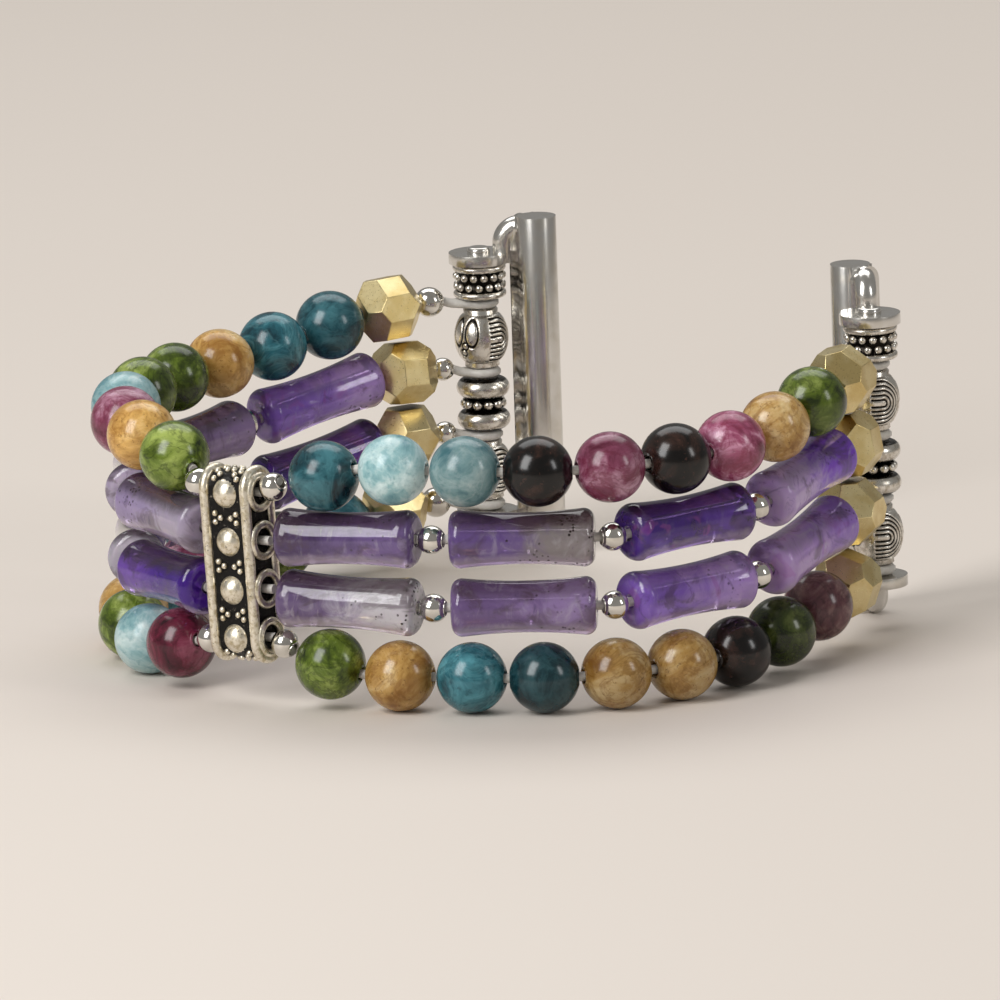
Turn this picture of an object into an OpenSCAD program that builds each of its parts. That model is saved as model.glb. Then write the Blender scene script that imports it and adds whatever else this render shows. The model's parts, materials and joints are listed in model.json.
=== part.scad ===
// Stretch watch band: four strands of beads on elastic, a four-hole spacer bar in the middle,
// and at each end a slide-in case adapter whose upright rod holds the elastic and carved beads.
// The band stands on its edge. +Z runs up the strands, +X from the left adapter to the right one,
// and the spacer bar is on the -Y side, across the loop from the gap for the watch case.
// "Front" is the half from the spacer bar to the right adapter, "back" the half to the left one.

/* [Round beads] */
// Diameter of the round stone beads
bead_d = 6.0; // [5:0.1:6.4]
// Smallest gap between neighbouring beads on a strand
bead_gap = 0.04; // [0.03:0.01:0.1]
// Gap between the two round beads at a place where the band flexes
flex_gap = 0.15; // [0.12:0.01:0.3]
// Bore through stones and gold beads
bead_bore = 1.1; // [1:0.05:1.4]

/* [Bamboo beads] */
// Length of the bamboo-shaped amethyst tubes
bamboo_len = 12.1; // [9:0.1:13]
// Diameter at the flared ends of a tube
bamboo_d = 4.9; // [4:0.1:5.1]
// Diameter at the waist of a tube
bamboo_waist = 4.3; // [3:0.1:4.6]
// Radius of the rounded rim at each end of a tube
bamboo_rim = 0.9; // [0.3:0.05:1]
// Gap between a tube and the gold bead after it
bamboo_gap = 0.3; // [0.25:0.01:0.4]

/* [Metal beads] */
// Diameter of the plain silver balls
ball_d = 2.4; // [2:0.1:2.6]
// Bore of the plain silver balls
ball_bore = 1.0; // [0.95:0.05:1.2]
// Gap between a silver ball and what turns about it
ball_gap = 0.1; // [0.08:0.01:0.2]
// Widening of the bore towards both ends of a ball between two tubes
ball_flare = 0.45; // [0.4:0.01:0.5]
// Size across the flats of the gold faceted beads
gold_d = 5.3; // [4.5:0.1:5.5]
// Diameter of the silver balls after the gold beads, outer strands
end_ball_d = 2.6; // [2.2:0.1:3]
// Diameter of the silver balls after the gold beads, inner strands
inner_end_ball_d = 2.0; // [1.8:0.1:2.1]

/* [Elastic] */
// Diameter of the elastic cord
cord_d = 0.8; // [0.6:0.05:0.85]

/* [Strands] */
// Distance of the outer strands from the middle of the band
outer_offset = 8.75; // [8.6:0.05:9.5]
// Distance of the inner strands from the middle of the band
inner_offset = 2.9; // [2.75:0.05:3]

/* [Spacer bar] */
// Width of the bar along the strands, rail to rail
bar_w = 5.2; // [4.6:0.1:5.6]
// Thickness of the bar
bar_t = 4.0; // [3.6:0.1:4.4]
// Height of the bar
bar_h = 16.8; // [16.2:0.1:18]
// Distance between the bar's holes
hole_pitch = 4.1; // [3.9:0.1:4.2]
// Diameter of the bar's holes
hole_d = 1.1; // [0.95:0.05:1.2]
// Diameter of the rounded rails along the bar's edges
rail_d = 0.9; // [0.7:0.05:1]
// Depth of the channel between the rails
channel_depth = 0.45; // [0.3:0.05:0.6]
// Diameter of the round domes in the channel
dome_d = 2.7; // [2.2:0.1:2.8]
// Mean diameter of the ring round each hole
collar_d = 2.7; // [2.5:0.1:3]
// Thickness of the ring round each hole
collar_t = 0.7; // [0.5:0.05:0.8]
// Lean of the bar towards the back half
bar_lean = 3; // [0:0.5:4]
// Splay of the balls at the outer holes, towards the outer strands
mouth_splay = 0.5; // [0.4:0.05:0.7]

/* [Adapters] */
// Diameter of the upright rods
rod_d = 1.5; // [1.2:0.05:1.7]
// Radial clearance of eyes and carved beads on the rods
rod_clearance = 0.08; // [0.05:0.01:0.1]
// Diameter of the rods' heads
rod_head_d = 2.0; // [1.8:0.1:2.2]
// Thickness of the rods' heads
rod_head_t = 0.45; // [0.3:0.05:0.6]
// Diameter of the eyes that hold the rods
eye_d = 5.2; // [4.6:0.1:5.4]
// Thickness of the eyes
eye_t = 0.9; // [0.8:0.1:1.2]
// Diameter of the bent arms from the eyes to the lip
arm_d = 1.9; // [1.6:0.1:2]
// Height of the arms' level ends above the eyes
arm_rise = 2.2; // [2:0.1:2.3]
// Radius of the bend in the arms, on the middle of the arm
arm_bend = 1.5; // [1.2:0.1:1.6]
// Distance from a rod to the watch case
arm_reach = 3.6; // [3.5:0.1:4.4]
// Sideways shift from a rod to the middle of the tongue
tongue_shift = 2.6; // [1.5:0.1:3]
// Length of the tongue that slides into the watch case
tongue_len = 30.0; // [29.8:0.1:31.4]
// Depth of the tongue inside the watch case
tongue_depth = 2.6; // [2:0.1:3]
// Width of the tongue's round inner edge
tongue_w = 3.4; // [3:0.1:4]
// Width of the tongue where it leaves the watch case
tongue_neck = 2.2; // [1.8:0.1:2.6]
// Width of the lip that stays outside the watch case
lip_w = 2.6; // [2.2:0.1:3]
// Thickness of the lip
lip_t = 1.2; // [0.9:0.1:1.4]

/* [Carved beads on the rods] */
// Length of the carved barrel beads
carved_len = 5.1; // [4.8:0.1:5.3]
// Diameter of the carved barrel beads
carved_d = 4.7; // [4:0.1:4.8]
// Diameter of the carved barrel beads at their ends
carved_end_d = 3.0; // [2.6:0.1:3.4]
// Diameter of the flanges of the spools and drums
flange_d = 4.6; // [4:0.1:4.8]
// Length of the spool bead between the carved beads
spool_len = 4.5; // [4.2:0.1:4.7]
// Thickness of each flange of the spool
spool_flange = 1.7; // [1.3:0.1:1.9]
// Diameter of the spool's waist
spool_waist = 2.9; // [2.4:0.1:3.2]
// Length of the dotted drum bead
drum_len = 2.9; // [2.6:0.1:3.1]
// Diameter of the dotted drum bead between its flanges
drum_d = 4.1; // [3.6:0.1:4.3]
// Thickness of each flange of the drum
drum_flange = 0.6; // [0.4:0.05:0.8]
// Gap between the pieces stacked on a rod
stack_gap = 0.1; // [0.06:0.01:0.14]

/* [Hidden] */
$fn = 48;

teal = "#2f6473";
aqua = "#78adb3";
green = "#5d7d2f";
yellow = "#c69a4d";
pink = "#a3597d";
plum = "#6e2e45";
garnet = "#2c1d24";
amethyst = "#7450ab";
silver = "#b9b5ae";
gold = "#b69a50";
elastic = "#e4e0da";

front = 1;
back = -1;
bottom = 0;
lower = 1;
upper = 2;
top = 3;
outer_strands = [bottom, top];
inner_strands = [lower, upper];
all_strands = [bottom, lower, upper, top];

// Plan of the loop from the bar outwards: arcs as [length along the strand, turn in degrees]
arc_step = 11;
front_arcs = [[arc_step, 22], [arc_step, 2], [2 * arc_step, 62], [2.5 * arc_step, 28.5]];
back_arcs = [[4 * arc_step, 95], [2.5 * arc_step, 27.5]];

// Places along a strand, measured from the middle of the bar
side_face = bar_w / 2 - rail_d / 3;
collar_face = side_face + collar_t;
mouth = collar_face + ball_d / 2 - collar_t * 0.3;
first_start = mouth + ball_d / 2 + bead_gap;

// On a bend the beads' middles stand inside the strand's line, so that their step along it is
// longer than a bead. The tightest bend sets it.
tightest = min([for (a = concat(front_arcs, back_arcs)) a[0] / (a[1] * PI / 180)]);
half_bead_turn = bead_d / 2 / tightest * 180 / PI;
bend_step = 2 * tightest * asin(bead_d / (2 * tightest * cos(half_bead_turn))) * PI / 180;
pitch = bend_step + bead_gap;
bead_room = pitch - bead_d;
near_beads = 2;
mid_beads = 5;
end_beads = 2;
ball_room = ball_d / 2 + ball_gap;
flex_near = max(
  first_start + near_beads * pitch - bead_room + flex_gap / 2,
  collar_face + bead_gap + bamboo_len + ball_room);
flex_far = flex_near + max(
  mid_beads * pitch - bead_room + flex_gap,
  2 * (bamboo_len + 2 * ball_room));
near_step = (flex_near - flex_gap / 2 - first_start + bead_room) / near_beads;
mid_step = (flex_far - flex_near - flex_gap + bead_room) / mid_beads;

// The stones fill their strand from one flex place to the next, so longer tubes take larger stones
near_stone_d = near_step - bead_room;
mid_stone_d = mid_step - bead_room;
first_bead_at = first_start + near_stone_d / 2;
near_tube_start = flex_near - ball_room - bamboo_len;
outer_gold_start = flex_far + flex_gap / 2 + end_beads * pitch;
outer_ball_at = outer_gold_start + gold_d + bead_gap + end_ball_d / 2;
inner_gold_start = flex_far + ball_room + bamboo_len + bamboo_gap;
inner_ball_at = inner_gold_start + gold_d + bead_gap + inner_end_ball_d / 2;
rod_gap = 0.3;
rod_at = max(inner_ball_at + inner_end_ball_d / 2, outer_ball_at + end_ball_d / 2)
  + rod_gap + max(carved_d, flange_d) / 2;
mid_ball_at = (flex_near + flex_far) / 2;

// Heights
band_mid = bead_d / 2 + outer_offset;
stack_mid = tongue_len / 2;
end_rise = stack_mid - band_mid;
loop_room = cord_d + 2 * stack_gap;
stack_len = 2 * eye_t + 4 * loop_room + 2 * carved_len + spool_len + drum_len + stack_gap;
stack_low = stack_mid - stack_len / 2;
loop_0 = stack_low + eye_t + loop_room / 2;
carved_low_z = loop_0 + loop_room / 2;
loop_1 = carved_low_z + carved_len + loop_room / 2;
spool_z = loop_1 + loop_room / 2;
loop_2 = spool_z + spool_len + loop_room / 2;
carved_up_z = loop_2 + loop_room / 2;
loop_3 = carved_up_z + carved_len + loop_room / 2;
drum_z = loop_3 + loop_room / 2;
loop_z = [loop_0, loop_1, loop_2, loop_3];

function clamp01(t) = max(0, min(1, t));
function mix(a, b, t) = a + (b - a) * t;
function unit(v) = v / norm(v);

// Point and heading at distance s along a list of arcs that starts at p = [x, y, heading]
function along(arcs, s, p = [0, 0, 0], i = 0) =
  let(
    last = i == len(arcs) - 1,
    d = last ? s : min(s, arcs[i][0]),
    turn = arcs[i][1] * d / arcs[i][0],
    radius = arcs[i][0] / (arcs[i][1] * PI / 180),
    chord = 2 * radius * sin(turn / 2),
    q = [p.x + chord * cos(p.z + turn / 2), p.y + chord * sin(p.z + turn / 2), p.z + turn]
  )
  last || s <= arcs[i][0] ? q : along(arcs, s - arcs[i][0], q, i + 1);

// Plan point of one half of the loop, with the bar along X at the start
function plan(side, s) =
  let(p = along(side == front ? front_arcs : back_arcs, s))
  [side * p.x, p.y];

// The loop is turned so that the line between the rods runs along X
rod_line = plan(front, rod_at) - plan(back, rod_at);
bar_turn = -atan2(rod_line.y, rod_line.x);
function turned(p) =
  [p.x * cos(bar_turn) - p.y * sin(bar_turn), p.x * sin(bar_turn) + p.y * cos(bar_turn)];

// Middle of the loop's outline, which is set at the origin
total_beads = near_beads + mid_beads + end_beads;
spots = [for (side = [front, back], i = [1 : total_beads])
  let(half = stone_d(i) / 2)
  (turned(plan(side, bead_at(i) - half)) + turned(plan(side, bead_at(i) + half))) / 2];
rod_y = turned(plan(front, rod_at)).y;
function xs(list) = [for (p = list) p.x];
function ys(list) = [for (p = list) p.y];
centre = [
  (min(xs(spots)) + max(xs(spots))) / 2,
  (min(ys(spots)) - bead_d / 2 + rod_y + tongue_shift + tongue_w / 2) / 2
];
function flat(side, s) = turned(plan(side, s)) - centre;

// The rows lie on the table and rise smoothly near the rods, because the tongues are taller than
// the rows and stand on the table too
rise_start = 4 * arc_step;
function smooth(t) = t * t * (3 - 2 * t);
function rise(s) = end_rise * smooth(clamp01((s - rise_start) / (rod_at - rise_start)));

// Distance of a strand from the middle of the band
tube_touch_gap = 0.13;
tube_first_offset = bamboo_d / 2 + tube_touch_gap;
function outer_spread(s) =
  mix(1.5 * hole_pitch + mouth_splay, outer_offset, clamp01((s - mouth) / (first_bead_at - mouth)));
function inner_spread(s) =
  s < near_tube_start
    ? mix(hole_pitch / 2, tube_first_offset, clamp01((s - side_face) / (near_tube_start - side_face)))
    : mix(tube_first_offset, max(tube_first_offset, inner_offset),
        clamp01((s - near_tube_start) / bamboo_len));

// Height of a strand at distance s from the bar
function is_outer(k) = k == bottom || k == top;
function strand_z(k, s) =
  let(
    gold_start = is_outer(k) ? outer_gold_start : inner_gold_start,
    spread = is_outer(k) ? outer_spread(s) : inner_spread(s),
    z = band_mid + (k >= upper ? spread : -spread) + rise(s)
  )
  s <= gold_start ? z : mix(z, loop_z[k], clamp01((s - gold_start) / (rod_at - gold_start)));
function at(side, s, k) = concat(flat(side, s), strand_z(k, s));

// Places of the round beads of a strand, counted from 1 at the bar
function bead_at(i) =
  i <= near_beads ? first_bead_at + (i - 1) * near_step
  : i <= near_beads + mid_beads
    ? flex_near + flex_gap / 2 + mid_stone_d / 2 + (i - near_beads - 1) * mid_step
    : flex_far + flex_gap / 2 + bead_d / 2 + (i - near_beads - mid_beads - 1) * pitch;
function stone_d(i) =
  i <= near_beads ? near_stone_d : i <= near_beads + mid_beads ? mid_stone_d : bead_d;

// Puts a piece that points along +Z between two points
module between(a, b) {
  d = b - a;
  translate((a + b) / 2)
    rotate([0, acos(d.z / norm(d)), atan2(d.y, d.x)])
      children();
}

// Puts a piece on a strand, square to the cord, where half is half its length
module on_strand(side, k, s, half) {
  between(at(side, s - half, k), at(side, s + half, k)) children();
}

module bored_ball(d, bore) {
  difference() {
    sphere(d = d);
    cylinder(d = bore, h = d + 1, center = true);
  }
}

// Ball between two tubes: the bore widens to both ends, because the cord bends in it
flare_start = 0.2;
module flared_ball() {
  difference() {
    bored_ball(ball_d, ball_bore);
    for (side = [0, 1]) mirror([0, 0, side])
      translate([0, 0, flare_start])
        cylinder(d1 = ball_bore, d2 = ball_bore + 2 * ball_flare * ball_d / 2, h = ball_d / 2);
  }
}

// Round stones given as [strand, number counted from the bar]
module stones(side, list) {
  for (b = list)
    on_strand(side, b[0], bead_at(b[1]), stone_d(b[1]) / 2)
      bored_ball(stone_d(b[1]), bead_bore);
}

module balls(side, strands, places, d) {
  for (k = strands, s = places)
    on_strand(side, k, s, d / 2)
      bored_ball(d, ball_bore);
}

// Half outline of a tube bead: a waist between two flared ends with rounded rims
function bamboo_outline() =
  let(half = bamboo_len / 2, r = bamboo_d / 2, waist = bamboo_waist / 2, rim = bamboo_rim)
  concat(
    [[bead_bore / 2, -half]],
    [for (a = [-90 : 22.5 : 0]) [r - rim + rim * cos(a), -half + rim + rim * sin(a)]],
    [for (i = [1 : 11])
      let(y = mix(-half + rim, half - rim, i / 12))
      [waist + (r - waist) * pow(abs(2 * y / (bamboo_len - 2 * rim)), 1.8), y]],
    [for (a = [0 : 22.5 : 90]) [r - rim + rim * cos(a), half - rim + rim * sin(a)]],
    [[bead_bore / 2, half]]
  );

module bamboo() {
  rotate_extrude() polygon(bamboo_outline());
}

// A tube bead that reaches from one place to another on a strand
module tube_bead(side, k, from, to) {
  between(at(side, from, k), at(side, to, k)) bamboo();
}

// Gold bead: three crossed eight-sided prisms leave eighteen flat facets
module faceted_bead() {
  across = gold_d / cos(22.5);
  difference() {
    intersection() {
      rotate([0, 0, 22.5]) cylinder(d = across, h = gold_d, center = true, $fn = 8);
      rotate([90, 0, 0]) rotate([0, 0, 22.5])
        cylinder(d = across, h = gold_d, center = true, $fn = 8);
      rotate([0, 90, 0]) rotate([0, 0, 22.5])
        cylinder(d = across, h = gold_d, center = true, $fn = 8);
    }
    cylinder(d = bead_bore, h = gold_d + 1, center = true);
  }
}

module gold_beads(side) {
  color(gold) {
    for (k = outer_strands)
      on_strand(side, k, outer_gold_start + gold_d / 2, gold_d / 2)
        rotate([0, 0, 20 + 35 * k]) faceted_bead();
    for (k = inner_strands)
      on_strand(side, k, inner_gold_start + gold_d / 2, gold_d / 2)
        rotate([0, 0, 10 + 35 * k]) faceted_bead();
  }
}

// Cord: one skin swept along a list of points
cord_sides = 8;
function heading_at(pts, i) =
  unit(pts[min(i + 1, len(pts) - 1)] - pts[max(i - 1, 0)]);
function ring(pts, i, r) =
  let(t = heading_at(pts, i), n = unit(cross([0, 0, 1], t)), b = cross(t, n))
  [for (j = [0 : cord_sides - 1])
    let(a = 360 * (j + 0.5) / cord_sides)
    pts[i] + r * (n * cos(a) + b * sin(a))];

module cord(pts) {
  n = len(pts);
  m = cord_sides;
  skin = [for (i = [0 : n - 1]) each ring(pts, i, cord_d / 2)];
  sides = [for (i = [0 : n - 2], j = [0 : m - 1])
    let(a = i * m + j, b = i * m + (j + 1) % m)
    each [[a, b, b + m], [a, b + m, a + m]]];
  start = [for (j = [1 : m - 2]) [0, j + 1, j]];
  finish = [for (j = [1 : m - 2]) [(n - 1) * m, (n - 1) * m + j, (n - 1) * m + j + 1]];
  polyhedron(points = skin, faces = concat(sides, start, finish));
}

// Route of a cord over a list of places on its strand
function route(side, k, places) = [for (s = places) at(side, s, k)];

// Bead joints of the outer strands, where the cord bends
near_joints = [for (i = [1 : near_beads - 1]) bead_at(i) + near_step / 2];
mid_joints = [for (i = [1 : mid_beads - 1]) bead_at(near_beads + i) + mid_step / 2];
end_joints = [for (i = [1 : end_beads]) bead_at(near_beads + mid_beads + i) + pitch / 2];
cord_gap = 0.1;

// Loop of a cord round a rod, from the last ball round the rod and back beside itself
loop_r = rod_d / 2 + rod_clearance + cord_d / 2;
function loop_route(side, k, ball_end) =
  let(
    rod = flat(side, rod_at),
    start = flat(side, ball_end),
    u = unit(rod - start),
    v = [-u.y, u.x],
    reach = norm(rod - start),
    spot = function(x, y, z) concat(rod + u * x + v * y, z)
  )
  concat(
    [spot(-reach * 0.8, -cord_d * 0.3, mix(strand_z(k, ball_end), loop_z[k], 0.5))],
    [for (a = [-150 : 25 : 150]) spot(loop_r * cos(a), loop_r * sin(a), loop_z[k])],
    [spot(-reach * 0.72, cord_d * 0.75, loop_z[k])]
  );

module near_cords(side) {
  color(elastic) {
    for (k = outer_strands)
      cord(route(side, k, concat([first_start + cord_gap], near_joints, [flex_near - cord_gap])));
    for (k = inner_strands)
      cord(route(side, k, [near_tube_start, near_tube_start + bamboo_len]));
  }
}

module mid_cords(side) {
  color(elastic) {
    for (k = outer_strands)
      cord(route(side, k,
        concat([flex_near + cord_gap], mid_joints, [flex_far - cord_gap])));
    for (k = inner_strands)
      cord(route(side, k,
        [flex_near - ball_d / 2, flex_near, mid_ball_at, flex_far, flex_far + ball_d / 2]));
  }
}

module end_cords(side) {
  outer_end = outer_ball_at + end_ball_d / 2;
  inner_end = inner_ball_at + inner_end_ball_d / 2;
  color(elastic) {
    for (k = outer_strands)
      cord(concat(
        route(side, k, concat([flex_far + cord_gap], end_joints,
          [outer_gold_start + gold_d + bead_gap / 2, outer_end])),
        loop_route(side, k, outer_end)));
    for (k = inner_strands)
      cord(concat(
        route(side, k, [end_tube_start, end_tube_start + bamboo_len, inner_gold_start,
          inner_gold_start + gold_d + bead_gap / 2, inner_end]),
        loop_route(side, k, inner_end)));
  }
}

// Tube beads: the first ends at the near flex ball, the next two meet at the middle ball
end_tube_start = flex_far + ball_room;
module near_bamboo(side) {
  color(amethyst)
    for (k = inner_strands)
      tube_bead(side, k, near_tube_start, near_tube_start + bamboo_len);
}

module mid_bamboo(side) {
  color(amethyst)
    for (k = inner_strands) {
      tube_bead(side, k, flex_near, mid_ball_at);
      tube_bead(side, k, mid_ball_at, flex_far);
    }
}

module end_bamboo(side) {
  color(amethyst)
    for (k = inner_strands)
      tube_bead(side, k, end_tube_start, end_tube_start + bamboo_len);
}

module mid_balls(side) {
  color(silver)
    for (k = inner_strands, s = [flex_near, mid_ball_at, flex_far])
      on_strand(side, k, s, ball_d / 2) flared_ball();
}

module end_balls(side) {
  color(silver) {
    balls(side, outer_strands, [outer_ball_at], end_ball_d);
    balls(side, inner_strands, [inner_ball_at], inner_end_ball_d);
  }
}

// Frame of the spacer bar: X along the strands, Y through the loop, Z up, at the bar's middle
hole_heights = [for (i = [-1.5 : 1 : 1.5]) i * hole_pitch];
module at_bar() {
  translate(concat(flat(front, 0), band_mid))
    rotate([0, 0, bar_turn])
      rotate([0, -bar_lean, 0])
        children();
}

// Upright racetrack section, rounded at the top and bottom
module racetrack(t, h) {
  square([t, h - t], center = true);
  for (side = [-1, 1]) translate([0, side * (h - t) / 2]) circle(d = t);
}

// Round rail that follows the racetrack
module rail() {
  reach = (bar_t - rail_d) / 2;
  straight = bar_h - bar_t;
  for (side = [-1, 1]) {
    translate([0, side * reach, 0]) cylinder(d = rail_d, h = straight, center = true);
    translate([0, 0, side * straight / 2])
      rotate([90 * side, 0, 90])
        rotate_extrude(angle = 180) translate([reach, 0]) circle(d = rail_d, $fn = 24);
  }
}

module spacer_bar() {
  core_t = bar_t - 2 * channel_depth;
  core_h = bar_h - 2 * channel_depth;
  color(silver) at_bar()
    difference() {
      union() {
        rotate([90, 0, 90])
          linear_extrude(2 * side_face, center = true) racetrack(core_t, core_h);
        for (side = [-1, 1])
          translate([side * (bar_w - rail_d) / 2, 0, 0]) rail();
        for (z = hole_heights, side = [-1, 1]) {
          translate([side * (side_face + collar_t / 4), 0, z]) rotate([0, 90, 0])
            rotate_extrude() translate([collar_d / 2, 0]) circle(d = collar_t, $fn = 24);
          translate([0, side * (core_t / 2 - dome_d * 0.22), z]) sphere(d = dome_d);
        }
      }
      for (z = hole_heights)
        translate([0, 0, z]) rotate([0, 90, 0])
          cylinder(d = hole_d, h = bar_w + 2, center = true);
    }
}

// Balls at the bar's mouths, and the cord stubs that slide in the bar's holes
stub_inner = 0.25;
stub_reach = 0.3;
function mouth_spot(side, k) =
  let(out = (k == top ? 1 : -1) * mouth_splay)
  [side * mouth, 0, hole_heights[k] + out];
module mouth_balls(side) {
  color(silver) at_bar()
    for (k = outer_strands) {
      spot = mouth_spot(side, k);
      lead = spot - [side * collar_face, 0, hole_heights[k]];
      between(spot - unit(lead), spot + unit(lead)) bored_ball(ball_d, ball_bore);
    }
}

module mouth_cords(side) {
  color(elastic) at_bar()
    for (k = all_strands) {
      start = [side * stub_inner, 0, hole_heights[k]];
      exit = [side * collar_face, 0, hole_heights[k]];
      if (is_outer(k)) {
        lead = unit(mouth_spot(side, k) - exit);
        cord([start, exit, mouth_spot(side, k) + lead * ball_d / 2]);
      }
      else
        cord([start, exit + [side * stub_reach, 0, 0]]);
    }
}

// Frame of an adapter: the rod is on Z, and X points away from the watch case
module at_rod(side) {
  translate(concat(flat(side, rod_at), 0))
    scale([side, 1, 1])
      children();
}

module rod(side) {
  color(silver) at_rod(side) {
    translate([0, 0, stack_low - rod_head_t / 2])
      cylinder(d = rod_d, h = stack_len + rod_head_t);
    for (z = [stack_low - rod_head_t, stack_low + stack_len])
      translate([0, 0, z]) cylinder(d = rod_head_d, h = rod_head_t);
  }
}

// Adapter: an upright tongue for the case slot, a lip outside it, and two bent arms with eyes
lip_mid = [-arm_reach + lip_t / 2, tongue_shift];
module adapter(side) {
  color(silver) at_rod(side)
    difference() {
      union() {
        tongue();
        lip();
        for (end = [0, 1])
          translate([0, 0, stack_mid]) mirror([0, 0, end]) translate([0, 0, stack_len / 2])
            eye_and_arm();
      }
      translate([0, 0, stack_low - 1])
        cylinder(d = rod_d + 2 * rod_clearance, h = stack_len + 2);
    }
}

// Tongue in plan: a round inner edge on a narrower neck that leaves the case
module tongue() {
  middle = -arm_reach - tongue_depth + tongue_w / 2;
  linear_extrude(tongue_len) {
    translate([middle, tongue_shift]) circle(d = tongue_w);
    translate([middle, tongue_shift - tongue_neck / 2])
      square([lip_mid.x - middle, tongue_neck]);
  }
}

// Lip: an upright plate with round ends, outside the case
module lip() {
  translate([-arm_reach, tongue_shift, stack_mid]) rotate([90, 0, 90])
    linear_extrude(lip_t) racetrack(lip_w, tongue_len);
}

// Eye with its outer face at height zero, and the arm that bends from it over to the lip
arm_gap = 0.2;
module eye_and_arm() {
  foot = rod_head_d / 2 + arm_gap + arm_d / 2;
  translate([0, 0, -eye_t]) cylinder(d = eye_d, h = eye_t);
  rotate([0, 0, atan2(lip_mid.y, lip_mid.x)]) {
    translate([foot, 0, -eye_t]) cylinder(d = arm_d, h = eye_t + arm_rise - arm_bend);
    translate([foot + arm_bend, 0, arm_rise - arm_bend])
      rotate([90, 0, 0]) rotate([0, 0, 90])
        rotate_extrude(angle = 90) translate([arm_bend, 0]) circle(d = arm_d, $fn = 32);
    translate([foot + arm_bend, 0, arm_rise]) rotate([0, 90, 0])
      cylinder(d = arm_d, h = norm(lip_mid) - foot - arm_bend);
  }
}

// Bead that turns on a rod: a turned outline given as [radius, height] from its lower face
module on_rod(side, z) {
  color(silver) at_rod(side) translate([0, 0, z]) children();
}
rod_bore = rod_d / 2 + rod_clearance;

// Rounded edge of a flange between two heights
function bulge(r, from, to, depth) =
  [for (a = [-90 : 30 : 90])
    [r - depth + depth * cos(a), (from + to) / 2 + (to - from) / 2 * sin(a)]];

module carved_barrel() {
  end = carved_end_d / 2;
  swell = (carved_d - carved_end_d) / 2;
  rim = carved_len * 0.08;
  rotate_extrude() polygon(concat(
    [[rod_bore, 0], [end, 0], [end, rim]],
    [for (i = [1 : 11])
      let(t = i / 12)
      [end - rim / 2 + (swell + rim / 2) * sqrt(sin(180 * t)), mix(rim, carved_len - rim, t)]],
    [[end, carved_len - rim], [end, carved_len], [rod_bore, carved_len]]
  ));
}

module spool() {
  r = flange_d / 2;
  neck = spool_waist / 2;
  rotate_extrude() polygon(concat(
    [[rod_bore, 0]],
    bulge(r, 0, spool_flange, spool_flange / 2),
    [[neck, spool_flange], [neck, spool_len - spool_flange]],
    bulge(r, spool_len - spool_flange, spool_len, spool_flange / 2),
    [[rod_bore, spool_len]]
  ));
}

module drum() {
  r = flange_d / 2;
  rotate_extrude() polygon(concat(
    [[rod_bore, 0]],
    bulge(r, 0, drum_flange, drum_flange / 2),
    [[drum_d / 2, drum_flange], [drum_d / 2, drum_len - drum_flange]],
    bulge(r, drum_len - drum_flange, drum_len, drum_flange / 2),
    [[rod_bore, drum_len]]
  ));
}

module front_mouth_balls() { mouth_balls(front); }
module front_mouth_cords() { mouth_cords(front); }
module back_mouth_balls() { mouth_balls(back); }
module back_mouth_cords() { mouth_cords(back); }

module front_near_teal() { color(teal) stones(front, [[top, 1]]); }
module front_near_aqua() { color(aqua) stones(front, [[top, 2]]); }
module front_near_green() { color(green) stones(front, [[bottom, 1]]); }
module front_near_yellow() { color(yellow) stones(front, [[bottom, 2]]); }
module front_near_bamboo() { near_bamboo(front); }
module front_near_cords() { near_cords(front); }

module front_mid_aqua() { color(aqua) stones(front, [[top, 3]]); }
module front_mid_garnet() { color(garnet) stones(front, [[top, 4], [top, 6], [bottom, 7]]); }
module front_mid_pink() { color(pink) stones(front, [[top, 5], [top, 7]]); }
module front_mid_teal() { color(teal) stones(front, [[bottom, 3], [bottom, 4]]); }
module front_mid_yellow() { color(yellow) stones(front, [[bottom, 5], [bottom, 6]]); }
module front_mid_bamboo() { mid_bamboo(front); }
module front_mid_balls() { mid_balls(front); }
module front_mid_cords() { mid_cords(front); }

module front_end_yellow() { color(yellow) stones(front, [[top, 8]]); }
module front_end_green() { color(green) stones(front, [[top, 9], [bottom, 8]]); }
module front_end_plum() { color(plum) stones(front, [[bottom, 9]]); }
module front_end_bamboo() { end_bamboo(front); }
module front_end_gold() { gold_beads(front); }
module front_end_balls() { end_balls(front); }
module front_end_cords() { end_cords(front); }

module back_near_green() { color(green) stones(back, [[top, 1]]); }
module back_near_yellow() { color(yellow) stones(back, [[top, 2]]); }
module back_near_plum() { color(plum) stones(back, [[bottom, 1]]); }
module back_near_aqua() { color(aqua) stones(back, [[bottom, 2]]); }
module back_near_bamboo() { near_bamboo(back); }
module back_near_cords() { near_cords(back); }

module back_mid_pink() { color(pink) stones(back, [[top, 3], [bottom, 6]]); }
module back_mid_aqua() { color(aqua) stones(back, [[top, 4]]); }
module back_mid_green() { color(green) stones(back, [[top, 5], [top, 6], [bottom, 3]]); }
module back_mid_yellow() { color(yellow) stones(back, [[top, 7], [bottom, 4]]); }
module back_mid_teal() { color(teal) stones(back, [[bottom, 5], [bottom, 7]]); }
module back_mid_bamboo() { mid_bamboo(back); }
module back_mid_balls() { mid_balls(back); }
module back_mid_cords() { mid_cords(back); }

module back_end_teal() { color(teal) stones(back, [[top, 8], [top, 9], [bottom, 9]]); }
module back_end_green() { color(green) stones(back, [[bottom, 8]]); }
module back_end_bamboo() { end_bamboo(back); }
module back_end_gold() { gold_beads(back); }
module back_end_balls() { end_balls(back); }
module back_end_cords() { end_cords(back); }

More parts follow.
